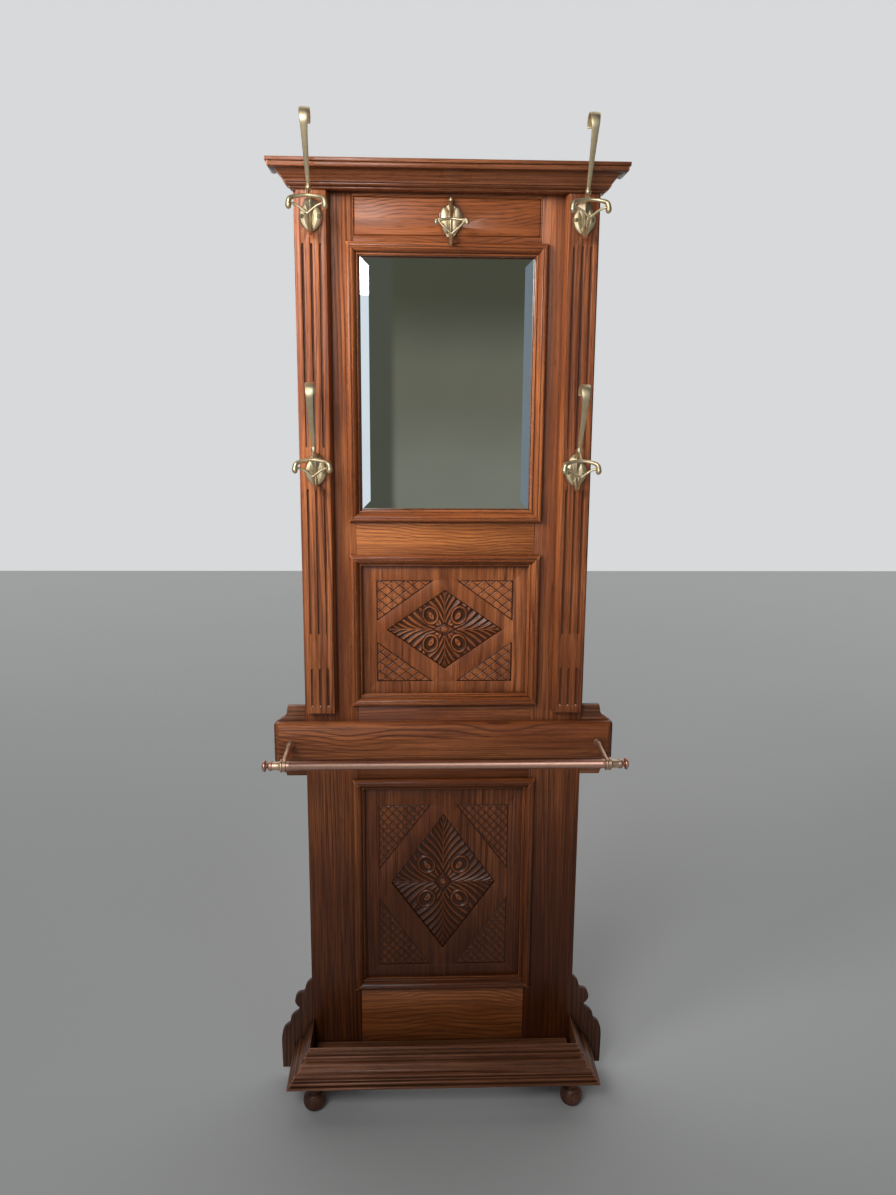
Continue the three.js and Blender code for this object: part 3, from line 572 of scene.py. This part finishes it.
def palmette_heights(x, z, spec):
    """Leaflets falling to the outline, four eyes laid in them and a petalled boss in the middle."""
    half, eye = spec["half"], spec["eye"]
    reach = np.abs(x) / half[0] + np.abs(z) / half[1]
    bed = 2.1 + 0.9 * np.sqrt(np.clip(1 - reach, 0, 1))
    heights = bed + 3.2 * (plumes(x, z, eye) - 0.5) * steps_between(reach, 0.05, 0.18)
    d = oval(np.abs(x), np.abs(z), eye, spec["radii"], spec["tilt"])
    inside = steps_between(d, 1.10, 0.98)
    seed_at, seed_radii = [0.94 * c for c in eye], [spec["radii"][0] * 0.36, spec["radii"][1] * 0.56]
    seed = oval(np.abs(x), np.abs(z), seed_at, seed_radii, spec["tilt"] - 0.2)
    heights = heights * (1 - inside) + (bed - 1.8 + 2.1 * eye_profile(d, seed)) * inside
    boss = np.abs(x) / spec["boss"][0] + np.abs(z) / spec["boss"][1]
    peak = steps_between(boss, 1.05, 0.92)
    gap = steps_between(boss, 1.35, 1.12) * (1 - peak)
    heights = heights * (1 - gap) + 0.8 * gap
    angle = np.arctan2(z, x)
    far = np.hypot(x, z)
    petals = 1.1 * np.exp(-((far - 4.8) / 2.0) ** 2) * (0.5 + 0.5 * np.cos(5 * angle))
    bead = 1.2 * np.exp(-(far / 1.9) ** 2) - 0.8 * np.exp(-((far - 8.2) / 1.2) ** 2)
    top = 2.6 + 1.1 * (1 - boss) + petals + bead
    heights = heights * (1 - peak) + top * peak
    edge = steps_between(reach, 1.0, 0.965)
    return np.clip(heights * edge + 0.35 * (1 - edge), 0.3, 4.95)


def carve_palmettes(material):
    for panel, spec in CARVING.items():
        half, middle = spec["half"], spec["middle"]
        inset = 0.15
        a, b = half[0] + inset, half[1] + inset
        grid = skew_grid((-a, middle), (a, b), (a, -b), spec["cells"])
        x, z = grid[0][:, 0], grid[0][:, 1] - middle
        heights = palmette_heights(x, z, spec)
        relief(f"{panel}_palmette", grid, heights, PANEL_FACE + RHOMBUS_BED, RHOMBUS_CREST, material)


# Each row is a triangle's outer and inner height; the diamond is the lattice's width and height.
HATCHING = {
    "upper": dict(half=145.5, inner=24, rows=((1181.5, 1093), (959, 1048)), diamond=(27.6, 21.8),
                  cells=110),
    "lower": dict(half=145, inner=28, rows=((673, 516), (280, 450)), diamond=(19.0, 20.5),
                  cells=150),
}


def furrow(distance, half_width, depth):
    """A cut with sloping sides and a flat bottom."""
    return -depth * np.clip(1.5 - 1.5 * np.abs(distance) / half_width, 0, 1)


def hatch_heights(x, z, spec, edges, rng):
    """A flat ground cut by a diamond lattice, with a finer line inside each diamond and a cut border."""
    wide, tall = spec["diamond"]
    spacing = 1 / math.hypot(1 / wide, 1 / tall)
    heights = np.full(len(x), 1.75)
    for sign in (1, -1):
        phase = x / wide + sign * z / tall
        off_line = np.abs(phase - np.round(phase)) * spacing
        heights += furrow(off_line, 1.15, 1.30)
        heights += furrow(off_line - 0.25 * spacing, 0.8, 0.25)
    heights += rng.normal(0, 0.13, len(x))
    near = np.min(edges, axis=0)
    heights += furrow(near - 0.9, 1.7, 1.5)
    return np.clip(heights, 0.25, 1.95)


def carve_hatching(material):
    rng = np.random.default_rng(7)
    for panel, spec in HATCHING.items():
        for word, side in SIDES:
            for row, (outer, inner) in zip(("top", "bottom"), spec["rows"]):
                corner = (side * spec["half"], outer)
                leg_a, leg_b = (side * (spec["inner"] - spec["half"]), 0), (0, inner - outer)
                grid = corner_grid(corner, leg_a, leg_b, spec["cells"])
                x, z = grid[0][:, 0], grid[0][:, 1]
                u, v = np.abs(x - corner[0]), np.abs(z - outer)
                wide, tall = abs(leg_a[0]), abs(leg_b[1])
                slope = (1 - u / wide - v / tall) / math.hypot(1 / wide, 1 / tall)
                heights = hatch_heights(side * x, z - outer, spec, [u, v, slope], rng)
                name = f"{panel}_hatching_{row}_{word}"
                relief(name, grid, heights, PANEL_FACE + CORNER_BED, CORNER_CREST, material)


# ---- Hooks: lofted bars fused into one casting ----------------------------------------------------
def smooth_path(points, steps=6):
    """A denser path through points whose coordinates may be followed by radii."""
    points = [tuple(point) for point in points]
    result = []
    for index in range(len(points) - 1):
        p0, p3 = points[max(index - 1, 0)], points[min(index + 2, len(points) - 1)]
        for step in range(steps):
            result.append(catmull(p0, points[index], points[index + 1], p3, step / steps))
    result.append(points[-1])
    return result


def loft(shell, path, reference, sides=14):
    """Add a closed bar along [x, y, z, half-width, half-thickness] stations, in millimetres."""
    stations = smooth_path(path)
    rings = []
    for index, station in enumerate(stations):
        before, after = stations[max(index - 1, 0)], stations[min(index + 1, len(stations) - 1)]
        tangent = (Vector(after[:3]) - Vector(before[:3])).normalized()
        across = (Vector(reference) - tangent * tangent.dot(Vector(reference))).normalized()
        through = tangent.cross(across)
        ring = []
        for step in range(sides):
            angle = 2 * math.pi * step / sides
            offset = across * station[3] * math.cos(angle) + through * station[4] * math.sin(angle)
            ring.append(shell.verts.new((Vector(station[:3]) + offset) * MM))
        rings.append(ring)
    for ring, after in zip(rings, rings[1:]):
        for step in range(sides):
            beside = (step + 1) % sides
            shell.faces.new((ring[step], ring[beside], after[beside], after[step]))
    shell.faces.new(rings[0][::-1])
    shell.faces.new(rings[-1])


def egg(shell, centre, radii, tilt=0.0):
    turn = Matrix.Rotation(tilt, 4, "Y")
    stretch = Matrix.Diagonal((*(r * MM for r in radii), 1))
    shape = Matrix.Translation(Vector(centre) * MM) @ turn @ stretch
    bmesh.ops.create_icosphere(shell, subdivisions=3, radius=1, matrix=shape)


PLATE_Y = (-3.6, -0.2)                           # front and back of a hook's plate
VOXEL = 0.62                                     # cell of the skin drawn over a casting


def slab(shell, points):
    """A flat plate from an outline of [x, z] points, in millimetres."""
    rings = [[shell.verts.new((x * MM, y * MM, z * MM)) for x, z in points] for y in PLATE_Y]
    for k in range(len(points)):
        after = (k + 1) % len(points)
        shell.faces.new((rings[0][k], rings[0][after], rings[1][after], rings[1][k]))
    shell.faces.new(rings[0])
    shell.faces.new(rings[1][::-1])


def fuse(name, shell, relax):
    """One watertight skin over everything in the shell."""
    bmesh.ops.recalc_face_normals(shell, faces=shell.faces)
    raw = bpy.data.meshes.new(name + "_raw")
    shell.to_mesh(raw)
    shell.free()
    carrier = bpy.data.objects.new(name + "_raw", raw)
    bpy.context.collection.objects.link(carrier)
    remesh = carrier.modifiers.new("remesh", "REMESH")
    remesh.mode, remesh.voxel_size = "VOXEL", VOXEL * MM
    relaxing = carrier.modifiers.new("relax", "SMOOTH")
    relaxing.factor, relaxing.iterations = 0.5, relax
    ready = carrier.evaluated_get(bpy.context.evaluated_depsgraph_get())
    mesh = bpy.data.meshes.new_from_object(ready)
    mesh.name = name
    bpy.data.objects.remove(carrier)
    bpy.data.meshes.remove(raw)
    mesh.shade_smooth()
    return mesh


# Forward, height and half-width of the blade; x and height of one side of each plate's outline.
BLADE = [(36, 0, 3.6), (52, 28, 4.7), (72, 60, 5.7), (88, 90, 6.9), (94, 106, 8.2), (90, 121, 9.6),
         (78, 128, 10.0), (62, 124, 9.8), (53, 113, 9.2), (51, 107, 8.2)]
LARGE_PLATE = [(5, -10), (12, -20), (19, -32), (23, -46), (20, -58), (12, -67), (5, -73)]
SMALL_PLATE = [(7, -9), (15, -16), (22.5, -23), (23.5, -37), (20, -46), (12, -60), (6, -68)]


def mirrored(points, peak):
    """A plate's whole outline from one side of it and the height of its peak."""
    return [(0, peak), *points, *[(-x, z) for x, z in reversed(points)]]


def arch(shell, top, knob, half, size):
    """The crescent with drop-shaped ends, from [forward, height] of its crown and of its knobs."""
    middle = (top[1] + knob[1]) / 2
    one = [(half, -knob[0], knob[1] + 3, 0.92 * size, 0.92 * size),
           (half - 2.5, -knob[0] + 1, middle + 2, 0.82 * size, 0.85 * size),
           (half * 0.60, -top[0] - 4, top[1] - 2.6, 0.68 * size, 0.75 * size)]
    other = [(-x, *rest) for x, *rest in one]
    loft(shell, [*one, (0, -top[0], top[1], 0.58 * size, 0.70 * size), *reversed(other)], (0, 0, 1))
    for side in (1, -1):
        egg(shell, (side * half, -knob[0], knob[1]), (size, size, 1.3 * size), side * 0.15)


def struts(shell, joint, knob, half):
    """The thin V from the joint up to the knobs."""
    for side in (1, -1):
        loft(shell, [(0, -joint[0], joint[1] - 3, 3.2, 2.8),
                     (side * half * 0.22, -joint[0] - 1, joint[1] + 3, 2.9, 2.6),
                     (side * half * 0.55, -joint[0] - 2, joint[1] + 11, 2.5, 2.4),
                     (side * half * 0.86, -knob[0] + 0.5, knob[1] + 4, 2.5, 2.4)], (0, 1, 0))


def large_hook():
    """Plate with two lobes and a ridge, arch and strut, ball, bar and the long curled blade."""
    shell = bmesh.new()
    slab(shell, mirrored(LARGE_PLATE, -7))
    for side in (1, -1):
        loft(shell, [(side * 9, -2.5, -25, 4, 3.0), (side * 12.2, -3, -37, 9.0, 5.2),
                     (side * 12.8, -3, -48, 9.8, 5.6), (side * 9.5, -3, -60, 8.0, 5.2),
                     (side * 4.5, -3, -71, 3.0, 3.6)], (1, 0, 0), 8)
    loft(shell, [(0, -2, -9, 6, 3), (0, -3, -19, 14, 7.5), (0, -3, -31, 13, 8.5), (0, -3, -46, 6, 7),
                 (0, -3, -62, 2.5, 4.5)], (1, 0, 0), 4)
    arch(shell, (61, -19), (71, -38), 34, 5.9)
    struts(shell, (66, -49), (71, -38), 34)
    loft(shell, [(0, -3, -55, 4.2, 3.5), (0, -17, -78, 3.6, 3.2), (0, -33, -76, 3.0, 3.3),
                 (0, -50, -64, 2.9, 3.3), (0, -66, -49, 2.6, 2.8)], (1, 0, 0))
    egg(shell, (0, -17, -78.5), (4.0, 4.4, 5.0))
    loft(shell, [(0, -2.4, -18, 4.6, 2.4), (0, -16, -10, 3.6, 3.2), (0, -30, -3, 3.4, 3.4),
                 (0, -36, 2, 3.3, 3.3)], (1, 0, 0))
    loft(shell, [(0, -36, 2, 3.0, 3.0), (0, -44, -9, 3.0, 3.0), (0, -60, -18, 3.2, 3.0)], (1, 0, 0))
    egg(shell, (0, -36, 0), (6.0, 6.0, 8.0))
    loft(shell, [(0, -forward, z, half, 1.35) for forward, z, half in BLADE], (1, 0, 0), 18)
    return fuse("large_hook", shell, 7)


def small_hook():
    """The frieze's short hook: the same parts without the blade."""
    shell = bmesh.new()
    slab(shell, mirrored(SMALL_PLATE, -3))
    for side in (1, -1):
        egg(shell, (side * 10.5, -3.4, -36), (10.5, 4.6, 25), side * 0.10)
    loft(shell, [(0, -3, -8, 2.4, 3.2), (0, -7.5, -30, 3.2, 3.6), (0, -6, -58, 2.6, 3.2)], (1, 0, 0))
    arch(shell, (45, -40.5), (50, -48), 30, 4.3)
    struts(shell, (48, -66), (50, -48), 30)
    loft(shell, [(0, -3, -52, 4.0, 3.4), (0, -20, -80.5, 3.5, 3.1), (0, -34, -78, 2.9, 3.2),
                 (0, -48, -66, 2.5, 2.6)], (1, 0, 0))
    egg(shell, (0, -20, -80.5), (3.8, 4.2, 4.8))
    loft(shell, [(0, -2.4, -14, 4.4, 2.4), (0, -8, -2, 3.6, 3.2), (0, -24, -22, 3.0, 3.1),
                 (0, -44, -40, 3.1, 3.0)], (1, 0, 0))
    egg(shell, (0, -8, 0), (4.6, 4.4, 7.2))
    return fuse("small_hook", shell, 5)


def screw_mesh():
    """A domed screw head with a slot, on a short shank."""
    shell = bmesh.new()
    bmesh.ops.create_uvsphere(shell, u_segments=32, v_segments=16, radius=1)
    for vert in shell.verts:
        side, lift = Vector((vert.co.x, vert.co.z)), -vert.co.y
        in_slot = abs(vert.co.x) < 0.16 and lift > 0.3
        depth = 0.5 if in_slot else (1.9 * lift if lift > 0 else 2.6 * lift)
        vert.co = Vector((3.9 * side.x, -depth, 3.9 * side.y)) * MM
    mesh = bpy.data.meshes.new("slotted_screw")
    shell.to_mesh(mesh)
    shell.free()
    mesh.shade_smooth()
    return mesh


SCREW_X, SCREW_DROP = 16, 46                     # a screw beside and below its hook's origin


def place_hooks(brass, screw_brass):
    large, small, screw = large_hook(), small_hook(), screw_mesh()
    rng = np.random.default_rng(3)
    # Name, mesh, x, y and z, and how far the plate stands out where the screws sit.
    spots = [(f"{row}_{word}", large, side * PILASTER_X, PILASTER_FRONT, z, 7.9)
             for row, z in (("upper", 1947.0), ("lower", 1458.5)) for word, side in SIDES]
    spots.append(("centre", small, 6.0, 0.0, 1938.0, 6.8))
    for place, mesh, x, y, z, lobe in spots:
        hook = new_piece(f"cast_hook_{place}", mesh, brass)
        hook.location = at(x, y, z)
        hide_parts(f"hook_{place}")
        for word, side in SIDES:
            head = new_piece(f"screw_head_{place}_{word}", screw, screw_brass)
            head.location = at(x + side * SCREW_X, y - lobe, z - SCREW_DROP)
            head.rotation_euler = (0, rng.uniform(0, 3), 0)
            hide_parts(f"screw_{place}_{word}")


# ---- Pale plugs at the lower ends of the flutes -----------------------------------------------------
FLUTE_PITCH, PLUG_Z = 17, 913.5


def place_plugs(material):
    plug = lathe("plug", [(0, -1.2), (1.75, -1.2), (1.75, 0.1), (1.3, 0.6), (0.6, 0.85), (0, 0.9)], 20)
    for word, side in SIDES:
        for index, offset in enumerate((-FLUTE_PITCH, 0, FLUTE_PITCH)):
            piece = new_piece(f"flute_plug_{word}_{index}", plug, material)
            piece.rotation_euler = (math.pi / 2, 0, 0)
            piece.location = at(side * PILASTER_X + offset, PILASTER_FRONT - 0.1, PLUG_Z)


# ---- Umbrella rail and feet ----------------------------------------------------------------------
RAIL_Y, RAIL_Z, RAIL_RADIUS = -142.0, 826.5, 9.0
BRACKET_X = 332.0
ARM_Y, ARM_Z, ARM_DROOP = -22.5, 830.0, 0.030    # where an arm leaves the board, and its slope in radians
TUBE_HALF = 356.0                                # from the middle to where a finial starts
SLEEVE = 18.0                                    # length of the sleeve between the tube and a finial
FOOT_X, FOOT_Y = 289, -100


def beads(start, end, radius, pitch, depth):
    """Points of a beaded length of a profile."""
    count = round((end - start) / pitch)
    result = []
    for index in range(count):
        z = start + index * (end - start) / count
        result += [(radius - depth, z), (radius, z + pitch * 0.3), (radius, z + pitch * 0.7)]
    return [*result, (radius - depth, end)]


def place_rail(copper, gilt):
    wide, inner = RAIL_RADIUS + 0.7, BRACKET_X - 6
    half_tube = [(wide, inner), (wide, inner - 7), (RAIL_RADIUS + 0.2, inner - 8.5),
                 (RAIL_RADIUS, inner - 9)]
    end = TUBE_HALF - SLEEVE
    tube = lathe("rail_tube", [(0, -end), (RAIL_RADIUS, -end), *[(r, -z) for r, z in half_tube],
                               *reversed(half_tube), (RAIL_RADIUS, end), (0, end)], 72)
    rail = new_piece("rail_tube", tube, copper)
    rail.rotation_euler = (0, math.pi / 2, 0)
    rail.location = at(0, RAIL_Y, RAIL_Z)
    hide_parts("umbrella_rail")
    finial = lathe("finial", rounded([(0, -2), (9.6, -2), (9.6, -2), (9.8, 0.3), (10.0, 2), (9.7, 4.2),
                                      (7.8, 5.6), (5.0, 7.2), (4.4, 9), (6.6, 10), (10.8, 11.1), (12, 13.4),
                                      (11.2, 15.8), (7.4, 18.1), (3, 19.2), (0, 19.4)]))
    ring = lathe("ring", rounded([(0, -5.6), (12, -5.6), (13.1, -4.2), (13.25, -2.4), (11.9, -1), (11.7, 0),
                                  (11.9, 1), (13.25, 2.4), (13.1, 4.2), (12, 5.6), (0, 5.6)]))
    arm = lathe("arm", [(0, -0.3), (8, -0.3), (8.6, 1), (8.6, 2.4), (7.8, 4), (6, 5.2), (5.4, 7),
                        (6.4, 8.6), (7.3, 10.4), (7.3, 12.6), (6, 15), (4.4, 17),
                        *beads(19, 100, 5.5, 6.5, 1.4), (5, 104), (5.6, 108), (5.6, 111), (0, 111)], 32)
    sleeve = lathe("sleeve", rounded([(0, -2), (wide, -2), (wide, 1.2), (9.0, 2.6), (8.8, 6), (8.6, 13),
                                      (8.5, SLEEVE - 2.6), (9.2, SLEEVE - 1.3), (9.2, SLEEVE),
                                      (0, SLEEVE)]))
    for word, side in SIDES:
        button = new_piece(f"turned_finial_{word}", finial, copper)
        button.rotation_euler = (0, side * math.pi / 2, 0)
        button.location = at(side * TUBE_HALF, RAIL_Y, RAIL_Z)
        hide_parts(f"rail_finial_{word}")
        cuff = new_piece(f"rail_sleeve_{word}", sleeve, gilt)
        cuff.rotation_euler = (0, side * math.pi / 2, 0)
        cuff.location = at(side * end, RAIL_Y, RAIL_Z)
        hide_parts(f"rail_finial_{word}")
        band = new_piece(f"bracket_ring_{word}", ring, gilt)
        band.rotation_euler = (0, math.pi / 2, 0)
        band.location = at(side * BRACKET_X, RAIL_Y, RAIL_Z)
        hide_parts(f"rail_bracket_{word}")
        reach = new_piece(f"bracket_arm_{word}", arm, gilt)
        reach.rotation_euler = (math.pi / 2 + ARM_DROOP, 0, 0)
        reach.location = at(side * BRACKET_X, ARM_Y, ARM_Z)
        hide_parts(f"rail_bracket_{word}")


def place_feet(material):
    foot = lathe("bun_foot", rounded([(0, 0), (6, 0.2), (12, 0.6), (18.5, 2.8), (22.8, 8.5), (24.7, 15.5),
                                      (24.9, 22), (23, 31.5), (18.4, 38.4), (14, 41.6), (12.9, 43.6),
                                      (14, 45.4), (17.6, 47.8), (19, 51.5), (18.6, 55.5), (16.6, 58),
                                      (16.5, 60), (16.5, 66), (0, 66)], 4))
    for word, side in SIDES:
        piece = new_piece(f"turned_foot_{word}", foot, material)
        piece.location = at(side * FOOT_X, FOOT_Y, 0)
        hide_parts(f"bun_foot_{word}")


# ---- Stage --------------------------------------------------------------------------------------
def plane(name, size, location, rotation, material):
    bpy.ops.mesh.primitive_plane_add(size=1, location=location, rotation=rotation)
    made = bpy.context.object
    made.name = name
    for vert in made.data.vertices:
        vert.co = Vector((vert.co.x * size[0], vert.co.y * size[1], 0))
    made.data.materials.append(material)
    return made


def area_light(name, size, location, target, power):
    data = bpy.data.lights.new(name, "AREA")
    data.shape = "RECTANGLE"
    data.size, data.size_y = size
    data.energy = power
    light = bpy.data.objects.new(name, data)
    light.location = location
    light.rotation_euler = (Vector(target) - Vector(location)).to_track_quat("-Z", "Y").to_euler()
    bpy.context.collection.objects.link(light)
    return light


def make_stage():
    """A plain floor, dark cards and a room card that only light and reflections meet, and soft lights."""
    plane("floor", (14, 14), (0, 0, 0), (0, 0, 0), stage_surface("pale_floor", (0.47, 0.47, 0.46), 0.6))
    room = plane("room", (9, 6), (0.2, FACE - 4.2, 2.2), (math.pi / 2, 0, 0), room_card())
    shade = stage_surface("shade", (0.05, 0.045, 0.04), 0.9)
    left = plane("shade_left", (6, 6), (-4.2, -1.5, 2.2), (math.pi / 2, 0, math.pi / 2), shade)
    right = plane("shade_right", (6, 6), (4.4, -1.5, 2.2), (math.pi / 2, 0, -math.pi / 2), shade)
    ceiling = plane("shade_top", (9, 5), (0, -2.2, 5.2), (0, 0, 0), shade)
    for card in (room, left, right, ceiling):
        card.visible_camera = False
    world = bpy.data.worlds.new("world")
    world.use_nodes = True
    world.node_tree.nodes["Background"].inputs[0].default_value = (0.72, 0.73, 0.74, 1)
    world.node_tree.nodes["Background"].inputs[1].default_value = 0.95
    bpy.context.scene.world = world
    area_light("key", (0.8, 0.8), (-0.85, FACE - 2.15, 2.40), (-0.1, 0, 1.60), 24)
    side = area_light("side", (0.5, 0.9), (-1.00, FACE - 0.70, 2.15), (-0.30, 0, 1.75), 6)
    side.visible_glossy = False
    side.data.spread = 1.3
    fill = area_light("fill", (1.6, 1.6), (1.6, -2.4, 1.9), (0, 0, 1.0), 4)
    fill.visible_glossy = False


make_camera()
bpy.context.scene.view_settings.view_transform = "Standard"
WOODS = oak_set()
finish_nodes(WOODS)
BRASS = cast_metal("aged_brass", (0.96, 0.80, 0.52), (0.86, 0.68, 0.40), 0.48, (0.16, 0.10, 0.04),
                   grime_and_shade=0.7)
WORN_BRASS = cast_metal("worn_brass", (0.50, 0.40, 0.22), (0.34, 0.27, 0.14), 0.36, (0.06, 0.045, 0.02))
COPPER = cast_metal("satin_copper", (0.80, 0.47, 0.35), (0.72, 0.41, 0.30), 0.40, (0.20, 0.10, 0.07),
                    grime_and_shade=0.5, texture=0.02)
GILT = cast_metal("gilt_bronze", (0.88, 0.62, 0.44), (0.68, 0.45, 0.30), 0.40, (0.14, 0.08, 0.04),
                  reach=0.004)
finish_node("mirror_glass", mirror_silver(), 0)
finish_node("mirror_backboard", WOODS["backing"], 0.0006)
carve_palmettes(WOODS["oak_carved"])
carve_hatching(WOODS["oak_carved"])
place_hooks(BRASS, WORN_BRASS)
place_rail(COPPER, GILT)
place_feet(WOODS["shaded_upright"])
place_plugs(WOODS["plug"])
make_stage()
